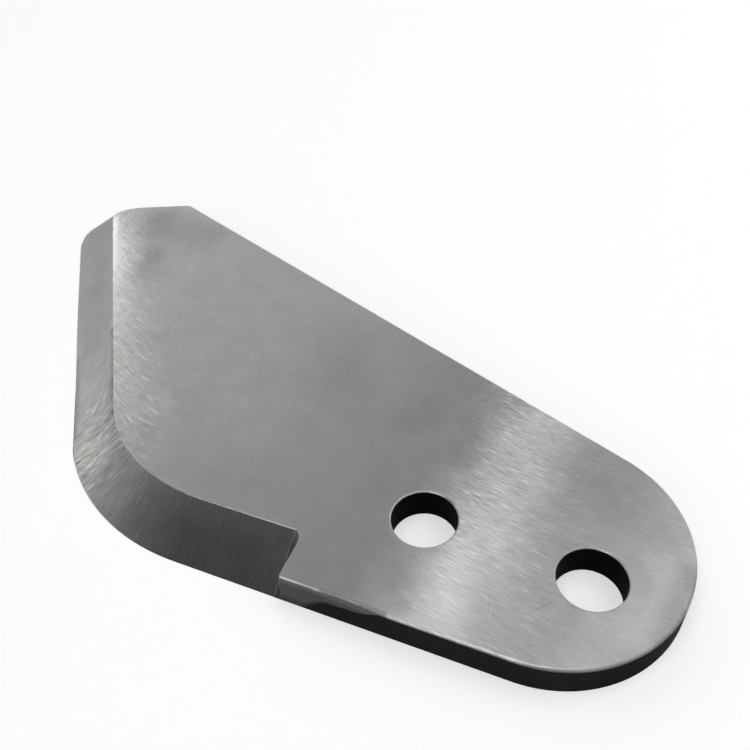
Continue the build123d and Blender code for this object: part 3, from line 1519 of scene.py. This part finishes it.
@dataclass(frozen=True)
class ScratchedSteel:
    """Steel ground along one direction.

    The surface is rough across its grain and smooth along it. Scratches at three sizes, each
    a width and a length, tip the surface a little along the grain and change its brightness.
    Their strength, the painted soft spots of light and shade and the painted glint beside the
    ridge come from point attributes, and the strokes lie over them. A mix has a weight for each
    size of scratch, and the glint's mix one more for its flecks. Scales are in waves to the
    metre, and pairs that end in grows or ends are the two ends of a soft ramp.
    """

    name: str
    colour: Colour
    end_colour: Colour
    fine: tuple[float, float]
    middle: tuple[float, float]
    broad: tuple[float, float]
    sway: float
    stain: tuple[float, float, float]
    sparkle: float
    cloud: float
    rim_shade: float
    streaks: str
    glint: float
    line_roughness: float
    stroke_map: StrokeMap
    strokes: tuple[Stroke, ...]
    roughness: float = 0.36
    cloud_roughness: float = 0.06
    anisotropy: float = 1.0
    tip: float = 0.04
    grain: float = 0.26
    sway_scale: float = 210.0
    cloud_scale: float = 170.0
    cloud_detail: float = 3.0
    cloud_rough: float = 0.6
    fleck_scale: float = 650.0
    grain_scale: float = 4200.0
    tip_mix: tuple[float, float, float] = (1.0, 0.5, 0.2)
    sparkle_mix: tuple[float, float, float] = (0.8, 0.6, 0.2)
    glint_mix: tuple[float, float, float, float] = (0.7, 1.5, 0.6, 1.0)
    sparkle_grows: tuple[float, float] = (0.10, 0.30)
    rim_ends: tuple[float, float] = (0.30, 1.05)
    colour_ends: tuple[float, float] = (-0.040, -0.008)

    def scratches(self, tree: NodeTree) -> list[Socket]:
        """Stretched noise at three sizes over the scratch map.

        The map is pushed sideways by a slow noise first, so that the scratches cross a little.

        Args:
            tree: The material's node tree.

        Returns:
            The fine, middle and broad scratches.
        """
        slow = tree.noise(tree.place(), (self.sway_scale,) * 3, 1.0)
        aside = tree.node("ShaderNodeCombineXYZ")
        tree.fill(aside, tree.math("MULTIPLY", slow, self.sway))
        scratch = tree.node("ShaderNodeUVMap", uv_map=SCRATCH_MAP).outputs[0]
        scratch = tree.vector("ADD", scratch, aside.outputs[0])
        sizes = (self.fine, self.middle, self.broad)
        return [tree.noise(scratch, (1 / wide, 1 / long, 1.0), 1.0) for wide, long in sizes]

    def shade(self, tree: NodeTree, scratches: list[Socket], cloud: Socket) -> Socket:
        """Brightness over the plain steel.

        It is 1, plus the scratches and their painted sparkle times the streaks' strength, plus the
        painted glint times its flecks, the clouds, the grain, the painted soft spots and the
        strokes, all times the painted shade of the rounded rim.

        Args:
            tree: The material's node tree.
            scratches: The three sizes of scratches.
            cloud: The clouds.

        Returns:
            The factor on the steel's colour.
        """
        worn = tree.weighted(scratches, self.stain)
        bright = tree.weighted(scratches, self.sparkle_mix)
        sparkle = tree.ramp(bright, *self.sparkle_grows, 0.0, self.sparkle)
        worn = tree.math("MULTIPLY", tree.math("ADD", worn, sparkle), tree.mark(self.streaks))
        place = tree.place()
        flecks = [*scratches, tree.noise(place, (self.fleck_scale,) * 3)]
        uneven = tree.math("ADD", tree.weighted(flecks, self.glint_mix), 1.0)
        # Painted highlight beside the ridge, times its flecks
        glint = tree.math("MULTIPLY", tree.mark(PAINTED_RIDGE_GLINT), self.glint)
        shade = tree.math("MULTIPLY_ADD", glint, uneven, tree.math("ADD", worn, 1.0))
        shade = tree.math("MULTIPLY_ADD", cloud, self.cloud, shade)
        grain = tree.noise(place, (self.grain_scale,) * 3, 1.0)
        shade = tree.math("MULTIPLY_ADD", grain, self.grain, shade)
        if self.stroke_map is StrokeMap.PLAN:
            # Painted light and shade of the soft spots
            shade = tree.math("ADD", shade, tree.mark(PAINTED_FACE_SPOTS))
            place = tree.vector("MULTIPLY", place, (1.0, 1.0, 0.0))
        else:
            place = tree.node("ShaderNodeUVMap", uv_map=GRAIN_MAP).outputs[0]
        for stroke in self.strokes:
            shade = tree.math("ADD", shade, tree.stroke(place, stroke))
        # Painted shade on the rounded edge over the dark side
        rim = tree.ramp(tree.mark(RIM_PAINTED_SHADE), *self.rim_ends, 1.0, self.rim_shade)
        return tree.math("MULTIPLY", shade, rim)

    def make(self) -> bpy.types.Material:
        """Builds the material.

        Returns:
            The material.
        """
        material = new_material(self.name)
        tree = NodeTree(material.node_tree)
        scratches = self.scratches(tree)
        place = tree.place()
        cloud = tree.noise(place, (self.cloud_scale,) * 3, self.cloud_detail, self.cloud_rough)
        tangent = tree.node("ShaderNodeTangent", direction_type="UV_MAP", uv_map=GRAIN_MAP)
        across = tangent.outputs[0]
        normal = tree.node("ShaderNodeNewGeometry").outputs["Normal"]
        along = tree.vector("CROSS_PRODUCT", normal, across)
        tip = tree.math("MULTIPLY", tree.weighted(scratches, self.tip_mix), self.tip)
        tipped = tree.vector("NORMALIZE", tree.vector("ADD", normal, tree.scaled(along, tip)))
        rough = tree.math("MULTIPLY_ADD", cloud, self.cloud_roughness, self.roughness)
        rough = tree.math("MULTIPLY_ADD", tree.mark(RIDGE_LINE), self.line_roughness, rough)
        ahead = tree.ramp(tree.dot(place, (1.0, 0.0, 0.0)), *self.colour_ends, 0.0, 1.0)
        steel = tree.mixed(ahead, self.colour, self.end_colour)
        colour = tree.scaled(steel, self.shade(tree, scratches, cloud))
        tree.finish(
            {
                "Metallic": 1.0,
                "Anisotropic": self.anisotropy,
                "Base Color": tree.vector("MINIMUM", colour, (1.0, 1.0, 1.0)),
                "Roughness": rough,
                "Normal": tipped,
                "Tangent": across,
            }
        )
        return material


@dataclass(frozen=True)
class DarkSide:
    """Dark side, its near black painted shade, with bright steel where the ground mark says so.

    Painted shade falls to foot_shade at its foot and a painted highlight grows by top_shade at its
    top, and slow noise makes both its marks and its shade uneven. Its gloss is the same all over,
    or goes over to end_specular at the round end. Pairs are the two ends of a soft ramp.
    """

    name: str
    dark: Colour
    bright: Colour
    roughness: float
    specular: float
    foot_shade: float
    end_specular: float | None = None
    cloud_stretch: tuple[float, float, float] = (500.0, 500.0, 900.0)
    cloud_detail: float = 4.0
    cloud_rough: float = 0.6
    cloud_marks: float = 0.25
    cloud_shade: float = 0.8
    cloud_roughness: float = 0.2
    plain_shade: float = 0.95
    top_shade: float = 1.1
    mark_grows: tuple[float, float] = (0.15, 0.85)
    foot_ends: tuple[float, float] = (0.0, 0.0030)
    top_grows: tuple[float, float] = (0.0044, 0.0060)
    gloss_ends: tuple[float, float] = (-0.002, 0.010)

    def make(self) -> bpy.types.Material:
        """Builds the material.

        Returns:
            The material.
        """
        material = new_material(self.name)
        tree = NodeTree(material.node_tree)
        place = tree.place()
        cloud = tree.noise(place, self.cloud_stretch, self.cloud_detail, self.cloud_rough)
        mark = tree.math("MULTIPLY_ADD", cloud, self.cloud_marks, tree.mark(GROUND_MARK))
        mark = tree.ramp(mark, *self.mark_grows, 0.0, 1.0)
        height = tree.dot(place, (0.0, 0.0, 1.0))
        shade = tree.math("MULTIPLY_ADD", cloud, self.cloud_shade, self.plain_shade)
        # Painted shade towards the foot and a painted highlight under the top edge
        foot = tree.ramp(height, *self.foot_ends, self.foot_shade, 1.0)
        top = tree.ramp(height, *self.top_grows, 0.0, self.top_shade)
        shade = tree.math("MULTIPLY_ADD", shade, foot, top)
        gloss = self.specular
        if self.end_specular is not None:
            ahead = tree.dot(place, (1.0, 0.0, 0.0))
            gloss = tree.ramp(ahead, *self.gloss_ends, self.specular, self.end_specular)
        tree.finish(
            {
                "Base Color": tree.scaled(tree.mixed(mark, self.dark, self.bright), shade),
                "Roughness": tree.math("MULTIPLY_ADD", cloud, self.cloud_roughness, self.roughness),
                "Metallic": mark,
                "Specular IOR Level": gloss,
            }
        )
        return material


@dataclass(frozen=True)
class Glow:
    """Round soft lamp far off: even out to its inner angle, then fading over fade degrees."""

    name: str
    azimuth: float
    elevation: float
    inner: float
    fade: float
    radiance: float

    def shine(self, tree: NodeTree, toward: Socket) -> Socket:
        """Light from each direction: a soft ramp of the cosine of the angle from the lamp's axis.

        Args:
            tree: The world's node tree.
            toward: The direction that is looked at.

        Returns:
            The lamp's radiance in that direction.
        """
        turn, lift = np.radians(self.azimuth), np.radians(self.elevation)
        axis = (np.cos(lift) * np.cos(turn), np.cos(lift) * np.sin(turn), np.sin(lift))
        edge, core = np.cos(np.radians([self.inner + self.fade, self.inner]))
        return tree.ramp(tree.dot(toward, axis), edge, core, 0.0, self.radiance)


@dataclass(frozen=True)
class Bank:
    """Long soft lamp along a cone round one line in the plane of the floor.

    The line lies at an azimuth. A direction's share is the cosine of its angle from the line's
    far end: the lamp fades in from low to full and out from thin to end. A second ramp over the
    direction's Y part fades the lamp out towards the front.
    """

    name: str
    azimuth: float
    low: float
    full: float
    thin: float
    end: float
    front: float
    back: float
    radiance: float

    def shine(self, tree: NodeTree, toward: Socket) -> Socket:
        """Light from each direction: its rise, its fall and its side fade, multiplied.

        Args:
            tree: The world's node tree.
            toward: The direction that is looked at.

        Returns:
            The lamp's radiance in that direction.
        """
        away = heading(self.azimuth + 180)
        share = tree.dot(toward, (*away, 0.0))
        rise = tree.ramp(share, self.low, self.full, 0.0, self.radiance)
        fall = tree.ramp(share, self.thin, self.end, 1.0, 0.0)
        side = tree.ramp(tree.dot(toward, (0.0, 1.0, 0.0)), self.front, self.back, 0.0, 1.0)
        return tree.math("MULTIPLY", tree.math("MULTIPLY", rise, fall), side)


@dataclass(frozen=True)
class Softbox:
    """Rectangular studio lamp that faces the blade, its azimuth anticlockwise from X."""

    name: str
    azimuth: float
    elevation: float
    distance: float
    width: float
    height: float
    radiance: float
    target: tuple[float, float, float] = (-0.06, 0.02, 0.0)

    def place(self) -> bpy.types.Object:
        """Places the lamp.

        Returns:
            The lamp's object.
        """
        turn, lift = np.radians(self.azimuth), np.radians(self.elevation)
        away = Vector((np.cos(lift) * np.cos(turn), np.cos(lift) * np.sin(turn), np.sin(lift)))
        light = bpy.data.lights.new(self.name, "AREA")
        light.shape = "RECTANGLE"
        light.size = self.width
        light.size_y = self.height
        light.energy = self.radiance * self.width * self.height * np.pi
        lamp = linked(bpy.data.objects.new(self.name, light))
        lamp.location = Vector(self.target) + away * self.distance
        lamp.rotation_euler = (-away).to_track_quat("-Z", "Y").to_euler()
        lamp.visible_camera = False
        return lamp


@dataclass
class Studio:
    """Pale floor that sweeps up at its rim, lamps, dim surroundings and the camera.

    Place, right, up and back are the camera's own, found by fitting the photograph's edges.
    """

    floor_radius: float = 1.6
    sweep_radius: float = 2.6
    sweep_height: float = 0.5
    floor_drop: float = 0.00002
    floor_columns: int = 96
    flat_rings: int = 8
    sweep_rings: int = 16
    floor_colour: float = 0.72
    floor_glow: float = 0.48
    world: float = 0.01
    lens: float = 39.704
    sensor: float = 36.0
    nearest: float = 0.005
    furthest: float = 20.0
    place: tuple[float, float, float] = (0.004262, -0.074752, 0.116050)
    right: tuple[float, float, float] = (0.90128407, 0.43126771, -0.04117256)
    up: tuple[float, float, float] = (-0.27118979, 0.63574039, 0.72269651)
    back: tuple[float, float, float] = (0.33785073, -0.64018928, 0.68993809)

    def floor(self) -> bpy.types.Object:
        """Floor: a flat disc whose rim sweeps up as a quarter of an ellipse, turned about Z.

        Returns:
            The floor's object.
        """
        turn = np.linspace(0.0, 2 * np.pi, self.floor_columns, endpoint=False)
        flat = np.linspace(0.0, self.floor_radius, self.flat_rings + 1)[1:]
        angle = np.linspace(0.0, np.pi / 2, self.sweep_rings + 1)[1:]
        sweep = self.floor_radius + (self.sweep_radius - self.floor_radius) * np.sin(angle)
        radius = np.concatenate([flat, sweep])
        level = np.concatenate([np.zeros(len(flat)), self.sweep_height * (1 - np.cos(angle))])
        ring = radius[:, None, None] * turned(turn)[None]
        height = np.broadcast_to((level - self.floor_drop)[:, None, None], (*ring.shape[:2], 1))
        points = np.concatenate([ring, height], axis=-1).reshape(-1, 3)
        points = np.concatenate([points, [[0.0, 0.0, -self.floor_drop]]])
        faces = grid_faces(len(radius), len(turn))[:, ::-1].tolist()
        hub = len(points) - 1
        first = np.arange(len(turn))
        faces += np.stack([np.full(len(turn), hub), first, np.roll(first, -1)], axis=1).tolist()
        mesh = bpy.data.meshes.new("floor")
        mesh.from_pydata(points.tolist(), [], faces)
        mesh.polygons.foreach_set("use_smooth", np.ones(len(faces), bool))
        mesh.update()
        floor = linked(bpy.data.objects.new("floor", mesh))
        floor.data.materials.append(self.floor_material())
        return floor

    def floor_material(self) -> bpy.types.Material:
        """White floor: diffuse, with a share of glow for what the eye and the steel see.

        Returns:
            The material.
        """
        material = new_material("floor_paper")
        material.node_tree.nodes.clear()
        tree = NodeTree(material.node_tree)
        diffuse = tree.node("ShaderNodeBsdfDiffuse", s0=(*(self.floor_colour,) * 3, 1.0))
        path = tree.node("ShaderNodeLightPath")
        seen = tree.math("MAXIMUM", path.outputs["Is Camera Ray"], path.outputs["Is Glossy Ray"])
        seen = tree.math("MAXIMUM", seen, path.outputs["Is Transmission Ray"])
        strength = tree.math("MULTIPLY", seen, self.floor_glow)
        glow = tree.fill(tree.node("ShaderNodeEmission"), strength, first=1)
        both = tree.fill(tree.node("ShaderNodeAddShader"), diffuse.outputs[0], glow)
        tree.put(both, tree.node("ShaderNodeOutputMaterial").inputs[0])
        return material

    def key(self) -> Softbox:
        """Large lamp to the right, which lights the floor and gives the blade its shadow.

        Returns:
            The lamp.
        """
        return Softbox(
            "right_key",
            azimuth=20.0,
            elevation=50.0,
            distance=1.6,
            width=1.6,
            height=1.6,
            radiance=1.3,
        )

    def far_lamps(self) -> list[Glow | Bank]:
        """The far lamps, each with its numbers in the order of its class's fields.

        Returns:
            Five round lamps and two long ones.
        """
        return [
            Glow("overhead", 235.7, 76.0, 12.6, 5.0, 3.08),
            Glow("end_lamp", 80.5, 65.7, 3.9, 4.0, 2.43),
            Bank("band_strip", -13.4, 0.263, 0.303, 0.30, 0.32, -0.40, -0.20, 3.64),
            Bank("back_bank", -16.6, 0.318, 0.468, 1.01, 1.02, -0.354, 0.39, 0.63),
            Glow("left_lamp", 193.0, 17.4, 3.0, 15.0, 1.19),
            Glow("nose_lamp", 135.0, 26.0, 3.0, 8.0, 0.53),
            Glow("front_lamp", 265.2, 24.5, 4.4, 12.7, 2.4),
        ]

    def surroundings(self) -> None:
        """Dim world with the far lamps in it, each added to the light of each direction."""
        world = bpy.data.worlds.new("studio")
        world.use_nodes = True
        tree = NodeTree(world.node_tree)
        toward = tree.node("ShaderNodeTexCoord").outputs["Generated"]
        light = self.world
        for lamp in self.far_lamps():
            light = tree.math("ADD", light, lamp.shine(tree, toward))
            LOG.info("far lamp %s added", lamp.name)
        tree.fill(world.node_tree.nodes["Background"], (1.0, 1.0, 1.0, 1.0), light)
        bpy.context.scene.world = world

    def camera(self) -> bpy.types.Object:
        """Camera at the place and turn that the photograph was taken from.

        Returns:
            The camera's object.
        """
        data = bpy.data.cameras.new("camera")
        data.lens = self.lens
        data.sensor_width = self.sensor
        data.clip_start = self.nearest
        data.clip_end = self.furthest
        camera = linked(bpy.data.objects.new("camera", data))
        axes = Matrix((self.right, self.up, self.back)).transposed()
        camera.matrix_world = Matrix.Translation(self.place) @ axes.to_4x4()
        bpy.context.scene.camera = camera
        return camera

    def build(self) -> None:
        """Puts floor, lamps, surroundings and camera into the scene."""
        self.floor()
        lamp = self.key().place()
        LOG.info("lamp %s placed", lamp.name)
        self.surroundings()
        self.camera()


# Strokes on the top face, in plan. Some are scratches; the others are painted highlights and
# painted shade, such as the bright line on the nose's ridge and the darkened top edge beside the
# step
FACE_STROKES = (
    Stroke((-0.1241, 0.0494), (-0.1231, 0.0495), 0.0007, -0.30),
    Stroke((-0.0098, 0.0013), (-0.0074, 0.0008), 0.00022, 0.35),
    Stroke((-0.0868, 0.0050), (-0.0856, 0.0046), 0.00040, 0.45),
    Stroke((-0.0853, 0.0027), (-0.0823, 0.0019), 0.00036, 0.35),
    Stroke((-0.0851, -0.0001), (-0.0817, -0.0007), 0.00036, 0.35),
    Stroke((-0.0870, -0.0009), (-0.0857, -0.0017), 0.00040, 0.30),
    Stroke((-0.0835, -0.0012), (-0.0822, -0.0014), 0.00030, -0.30),
    Stroke((-0.0714, 0.0122), (-0.0675, 0.0100), 0.00040, 0.10),
    Stroke((-0.1036, 0.0235), (-0.1015, 0.0226), 0.00050, 0.30),
    Stroke((-0.0915, 0.0090), (-0.0897, 0.0086), 0.00040, 0.35),
    Stroke((-0.0967, 0.0142), (-0.0936, 0.0135), 0.00040, 0.25),
    Stroke((-0.1184, 0.0386), (-0.1169, 0.0381), 0.00050, 0.40),
    Stroke((-0.1171, 0.0342), (-0.1162, 0.0340), 0.00060, 0.40),
    Stroke((-0.0129, -0.0099), (-0.0125, -0.0116), 0.00020, -0.28),
    Stroke((-0.0063, -0.0086), (-0.0044, -0.0063), 0.00020, -0.25),
    Stroke((-0.0202, -0.0115), (-0.0174, -0.0123), 0.00020, 0.30),
    Stroke((-0.0221, 0.0293), (-0.0189, 0.0282), 0.00020, 0.25),
    Stroke((-0.0221, 0.0145), (-0.0204, 0.0136), 0.00020, 0.30),
    Stroke((-0.1328, 0.0540), (-0.1322, 0.0526), 0.0007, 0.50),
    Stroke((-0.1321, 0.0522), (-0.1195, 0.0356), 0.0011, 0.33),
    Stroke((-0.1030, 0.0149), (-0.0940, 0.0036), 0.0012, -0.08),
    Stroke((-0.0730, -0.0106), (-0.0672, -0.0113), 0.0006, 0.09),
    Stroke((-0.0662, -0.0113), (-0.0480, -0.0103), 0.0006, 0.09),
    Stroke((-0.0368, -0.0187), (-0.0262, -0.0183), 0.00060, -0.55),
    Stroke((-0.0402, -0.0189), (-0.0374, -0.0188), 0.00060, -0.27),
)

# Soft spots of painted light and shade on the top face, in plan, which the mesh carries as a point
# attribute
FACE_PAINTED_SOFT_SPOTS = (
    Stroke((-0.0935, 0.0030), (-0.0886, -0.0024), 0.0024, -0.10),
    Stroke((-0.0876, -0.0034), (-0.0810, -0.0078), 0.0024, -0.09),
    Stroke((-0.0845, 0.0060), (-0.0825, 0.0045), 0.0030, 0.08),
    Stroke((-0.1225, 0.0555), (-0.1090, 0.0550), 0.0110, -0.20),
    Stroke((-0.1274, 0.0505), (-0.1260, 0.0480), 0.0040, -0.06),
    Stroke((-0.1150, 0.0440), (-0.1135, 0.0400), 0.0050, -0.14),
    Stroke((-0.1230, 0.0586), (-0.1115, 0.0375), 0.0065, -0.11),
    Stroke((-0.1146, 0.0350), (-0.1125, 0.0360), 0.0032, -0.12),
    Stroke((-0.0690, -0.0068), (-0.0575, -0.0046), 0.0045, -0.045),
    Stroke((-0.0510, 0.0194), (-0.0500, 0.0190), 0.0100, -0.035),
    Stroke((-0.0197, 0.0205), (-0.0190, 0.0185), 0.0045, 0.04),
    Stroke((-0.0190, -0.0018), (-0.0168, 0.0013), 0.0040, 0.035),
    Stroke((-0.0105, -0.0060), (-0.0090, -0.0020), 0.0060, 0.045),
    Stroke((-0.0687, 0.0090), (-0.0626, 0.0061), 0.0080, 0.04),
    Stroke((-0.0042, -0.0135), (0.0036, -0.0100), 0.0060, -0.035),
    Stroke((-0.0160, 0.0010), (-0.0120, 0.0005), 0.0030, 0.08),
    Stroke((-0.0370, 0.0250), (-0.0400, 0.0170), 0.0060, -0.07),
    Stroke((-0.0600, 0.0330), (-0.0560, 0.0250), 0.0110, -0.09),
    Stroke((-0.0275, 0.0225), (-0.0262, 0.0150), 0.0045, -0.11),
    Stroke((-0.0173, 0.0231), (-0.0177, 0.0085), 0.0060, -0.06),
    Stroke((-0.0080, 0.0200), (0.0060, 0.0110), 0.0120, -0.09),
    Stroke((0.0085, 0.0074), (0.0090, 0.0060), 0.0040, 0.12),
    Stroke((-0.0205, -0.0050), (-0.0180, -0.0140), 0.0050, 0.15),
    Stroke((-0.0272, -0.0105), (-0.0248, -0.0155), 0.0038, -0.16),
    Stroke((0.0140, 0.0060), (0.0125, -0.0045), 0.0045, -0.28),
    Stroke((0.0110, -0.0070), (0.0060, -0.0125), 0.0035, -0.13),
)

# Strokes on the bevel, in the run along the cutting edge and the way up the bevel. The thin ones
# are scratches; the broad ones are painted highlights and painted shade
BEVEL_STROKES = (
    Stroke((0.0660, 0.0106), (0.0745, 0.0104), 0.0020, -0.14),
    Stroke((0.0765, 0.0104), (0.0905, 0.0104), 0.0028, -0.17),
    Stroke((0.064, 0.0045), (0.074, 0.0045), 0.0060, 0.10),
    Stroke((0.102, 0.0050), (0.126, 0.0050), 0.0070, -0.12),
    Stroke((0.033, 0.0055), (0.050, 0.0058), 0.0070, -0.09),
    Stroke((0.0767, 0.0061), (0.0767, 0.0065), 0.0022, -0.20),
    Stroke((0.0893, 0.0036), (0.0909, 0.0083), 0.0035, -0.10),
    Stroke((0.0968, 0.0042), (0.0968, 0.0050), 0.0030, 0.10),
    Stroke((0.079, 0.0030), (0.085, 0.0035), 0.0055, 0.18),
    Stroke((0.0787, 0.0023), (0.0788, 0.0043), 0.00032, 0.60),
    Stroke((0.0789, 0.0064), (0.0790, 0.0077), 0.00028, 0.45),
    Stroke((0.0839, 0.0058), (0.0845, 0.0109), 0.00034, 0.50),
    Stroke((0.0805, 0.0026), (0.0815, 0.0051), 0.00030, 0.40),
    Stroke((0.0815, 0.0011), (0.0822, 0.0036), 0.00028, 0.55),
    Stroke((0.0839, 0.0020), (0.0843, 0.0046), 0.00030, 0.50),
    Stroke((0.0834, 0.0036), (0.0839, 0.0055), 0.00030, 0.40),
    Stroke((0.0810, 0.0005), (0.0817, 0.0018), 0.00028, -0.60),
    Stroke((0.0833, 0.0050), (0.0836, 0.0063), 0.00024, -0.50),
    Stroke((0.0814, 0.0021), (0.0819, 0.0040), 0.00024, -0.50),
    Stroke((0.0694, 0.0036), (0.0696, 0.0050), 0.00030, 0.50),
    Stroke((0.0709, 0.0055), (0.0706, 0.0063), 0.00032, 0.45),
    Stroke((0.0760, 0.0041), (0.0755, 0.0071), 0.00030, -0.30),
    Stroke((0.0759, 0.0114), (0.0829, 0.0115), 0.00030, -0.30),
    Stroke((0.1006, 0.0040), (0.1005, 0.0098), 0.00045, 0.22),
    Stroke((0.0500, 0.0110), (0.0760, 0.0110), 0.0009, -0.32),
    Stroke((0.0520, 0.0004), (0.0740, 0.0004), 0.0020, -0.24),
    Stroke((0.0620, 0.0000), (0.0800, 0.0000), 0.0004, -0.60),
    Stroke((0.0237, 0.0076), (0.0237, 0.0072), 0.0030, -0.08),
    Stroke((0.1272, 0.0017), (0.1272, 0.0019), 0.0004, 0.30),
)


def finishes() -> tuple[ScratchedSteel | DarkSide, ...]:
    """The blade's finishes, in the order of their regions' numbers.

    Returns:
        One finish for each region.
    """
    steel, end_steel = (0.563, 0.555, 0.540), (0.560, 0.555, 0.557)
    # The near black of the sides and bores is painted shade
    side, bore = (0.0020, 0.0018, 0.0018), (0.0026, 0.0023, 0.0023)
    # root: painted shade in the step's hollow root; corner: painted highlight, a lit copy of it on
    # the step's outer corner
    root, corner = (0.067, 0.065, 0.063), (0.230, 0.226, 0.220)
    ground, ground_bore = (0.080, 0.077, 0.077), (0.090, 0.087, 0.087)
    return (
        ScratchedSteel(
            "ground_face",
            steel,
            end_steel,
            fine=(0.00015, 0.0018),
            middle=(0.00030, 0.0030),
            broad=(0.0012, 0.012),
            sway=0.0003,
            stain=(1.15, 0.65, 0.25),
            sparkle=0.38,
            cloud=0.30,
            rim_shade=0.10,
            streaks=FACE_STREAKS,
            glint=1.0,
            line_roughness=-0.20,
            stroke_map=StrokeMap.PLAN,
            strokes=FACE_STROKES,
        ),
        ScratchedSteel(
            "ground_bevel",
            steel,
            steel,
            fine=(0.00018, 0.0024),
            middle=(0.00040, 0.0040),
            broad=(0.0016, 0.016),
            sway=0.0002,
            stain=(1.20, 0.70, 0.30),
            sparkle=0.42,
            cloud=0.24,
            rim_shade=1.0,
            streaks=BEVEL_STREAKS,
            glint=0.0,
            line_roughness=0.0,
            stroke_map=StrokeMap.RUN,
            strokes=BEVEL_STROKES,
        ),
        # Painted shade: near black side, darker towards its foot, lighter under its top edge
        DarkSide("dark_side", side, ground, 0.6, 0.055, foot_shade=0.4, end_specular=0.018),
        DarkSide("dark_bore", bore, ground_bore, 0.8, 0.04, foot_shade=0.4),
        # Painted shade in the step's hollow root
        DarkSide("dark_root", root, root, 0.7, 0.1, foot_shade=0.9),
        # Painted highlight on the step's outer corner
        DarkSide("painted_lit_corner", corner, ground, 0.7, 0.1, foot_shade=0.9),
    )


def main() -> None:
    """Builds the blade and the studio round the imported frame."""
    logging.basicConfig(level=logging.INFO, format="%(name)s: %(message)s")
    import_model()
    bpy.context.scene.view_settings.view_transform = "Standard"

    plan = BladePlan()
    contour = Contour(plan)
    blade = Blade(plan, contour, Wear(plan, contour, FACE_PAINTED_SOFT_SPOTS))
    piece = blade.build("ground_blade")
    for finish in finishes():
        piece.data.materials.append(finish.make())
    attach(piece, "root")
    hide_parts("blade")
    LOG.info("piece %s rides on root with %d faces", piece.name, len(piece.data.polygons))

    Studio().build()


if __name__ == "__main__":
    main()
